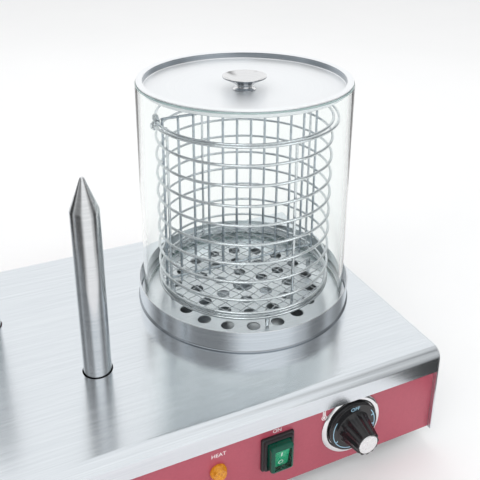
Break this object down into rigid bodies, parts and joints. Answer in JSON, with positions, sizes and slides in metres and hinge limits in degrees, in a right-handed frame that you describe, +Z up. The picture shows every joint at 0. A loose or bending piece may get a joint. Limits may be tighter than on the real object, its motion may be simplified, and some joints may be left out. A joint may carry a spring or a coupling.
{
  "type": "hot dog spike toaster",
  "caption": "Countertop hot dog steamer: a lidded glass cylinder over a wire basket and water pan, beside heated bun spikes, on a steel chassis with a red control panel",
  "frame": {"origin": "on the table, under the middle of the bounding box", "axes": "+X runs along the width, from the bun spikes to the steamer; -Y faces the user and the controls are on that side; +Z is up"},
  "size_m": [0.5104, 0.3474, 0.3299],
  "materials": {
    "sheet_steel": "brushed stainless sheet",
    "red_paint": "gloss red enamel",
    "tray_steel": "plain zinc-coated sheet",
    "foot_rubber": "moulded",
    "fixing_steel": "bright zinc plate",
    "spike_metal": "turned and polished",
    "heater_steel": "dulled by heat",
    "ceramic_body": "unglazed",
    "moulded_black": "fine texture",
    "copper": "drawn copper",
    "ring_chrome": "polished",
    "cap_aluminium": "spun satin",
    "lens_amber": "moulded, translucent",
    "boot_clear": "clear soft cover",
    "rocker_green": "translucent, moulded",
    "block_ivory": "moulded",
    "gland_black": "moulded",
    "wire_grey": "sleeved leads",
    "glass": "clear, fire-polished rims",
    "basket_wire": "bright wire",
    "lid_steel": "spun stainless sheet",
    "knob_aluminium": "turned"
  },
  "bodies": {
    "chassis": {"top_cover": "sheet_steel", "left_side_panel": "sheet_steel", "right_side_panel": "sheet_steel", "front_panel": "red_paint", "back_panel": "red_paint", "base_tray": "tray_steel", "foot_front_left": "foot_rubber", "foot_front_right": "foot_rubber", "foot_back_left": "foot_rubber", "foot_back_right": "foot_rubber", "foot_screws": "fixing_steel", "foot_nuts": "fixing_steel", "case_screws": "fixing_steel", "spike_front_left": "spike_metal", "spike_back": "spike_metal", "spike_front_right": "spike_metal", "spike_heaters": "heater_steel", "spike_nuts": "fixing_steel", "spike_washers": "fixing_steel", "spike_carrier": "tray_steel", "carrier_pillars": "fixing_steel", "water_pan": "sheet_steel", "tank_heater": "heater_steel", "heater_clamp": "fixing_steel", "clamp_nut": "fixing_steel", "safety_cutout": "ceramic_body", "thermostat_body": "moulded_black", "thermostat_bulb": "copper", "thermostat_screws": "fixing_steel", "dial_ring": "ring_chrome", "pilot_lens": "lens_amber", "pilot_body": "moulded_black", "pilot_nut": "fixing_steel", "switch_body": "moulded_black", "switch_frame": "moulded_black", "switch_boot": "boot_clear", "terminal_block": "block_ivory", "cable_gland": "gland_black", "gland_nut": "gland_black", "wiring_loom": "wire_grey"},
    "steam_plate": {"steam_plate": "sheet_steel"},
    "glass": {"glass_cylinder": "glass"},
    "basket": {"basket_cage": "basket_wire", "basket_divider": "basket_wire", "basket_floor": "basket_wire", "basket_feet": "basket_wire", "bail_keeper": "basket_wire"},
    "bail": {"basket_bail": "basket_wire"},
    "lid": {"lid_plate": "lid_steel", "lid_knob": "knob_aluminium", "lid_screw": "fixing_steel"},
    "dial": {"dial_knob": "moulded_black", "dial_cap": "cap_aluminium", "dial_shaft": "fixing_steel"},
    "rocker": {"switch_rocker": "rocker_green"}
  },
  "joints": [
    {"name": "plate_lift", "type": "slide", "parent": "chassis", "child": "steam_plate", "axis": [0, 0, 1], "range_m": [0, 0.05]},
    {"name": "glass_lift", "type": "slide", "parent": "steam_plate", "child": "glass", "axis": [0, 0, 1], "range_m": [0, 0.06]},
    {"name": "basket_lift", "type": "slide", "parent": "glass", "child": "basket", "axis": [0, 0, 1], "range_m": [0, 0.24]},
    {"name": "lid_lift", "type": "slide", "parent": "basket", "child": "lid", "axis": [0, 0, 1], "range_m": [0, 0.15]},
    {"name": "bail_swing", "type": "hinge", "parent": "basket", "child": "bail", "pos_m": [0.135, 0.01375, 0.294], "axis": [-1, 0, 0], "range_deg": [0, 90]},
    {"name": "thermostat_dial", "type": "hinge", "parent": "chassis", "child": "dial", "pos_m": [0.1633, -0.14625, 0.0545], "axis": [0, 1, 0], "range_deg": [0, 270]},
    {"name": "heat_switch", "type": "hinge", "parent": "chassis", "child": "rocker", "pos_m": [0.091, -0.14425, 0.0545], "axis": [-1, 0, 0], "range_deg": [0, 20]}
  ],
  "couplings": [
    {"joint": "bail_swing", "follows": "lid_lift", "rad_per_m": 10.47}
  ]
}
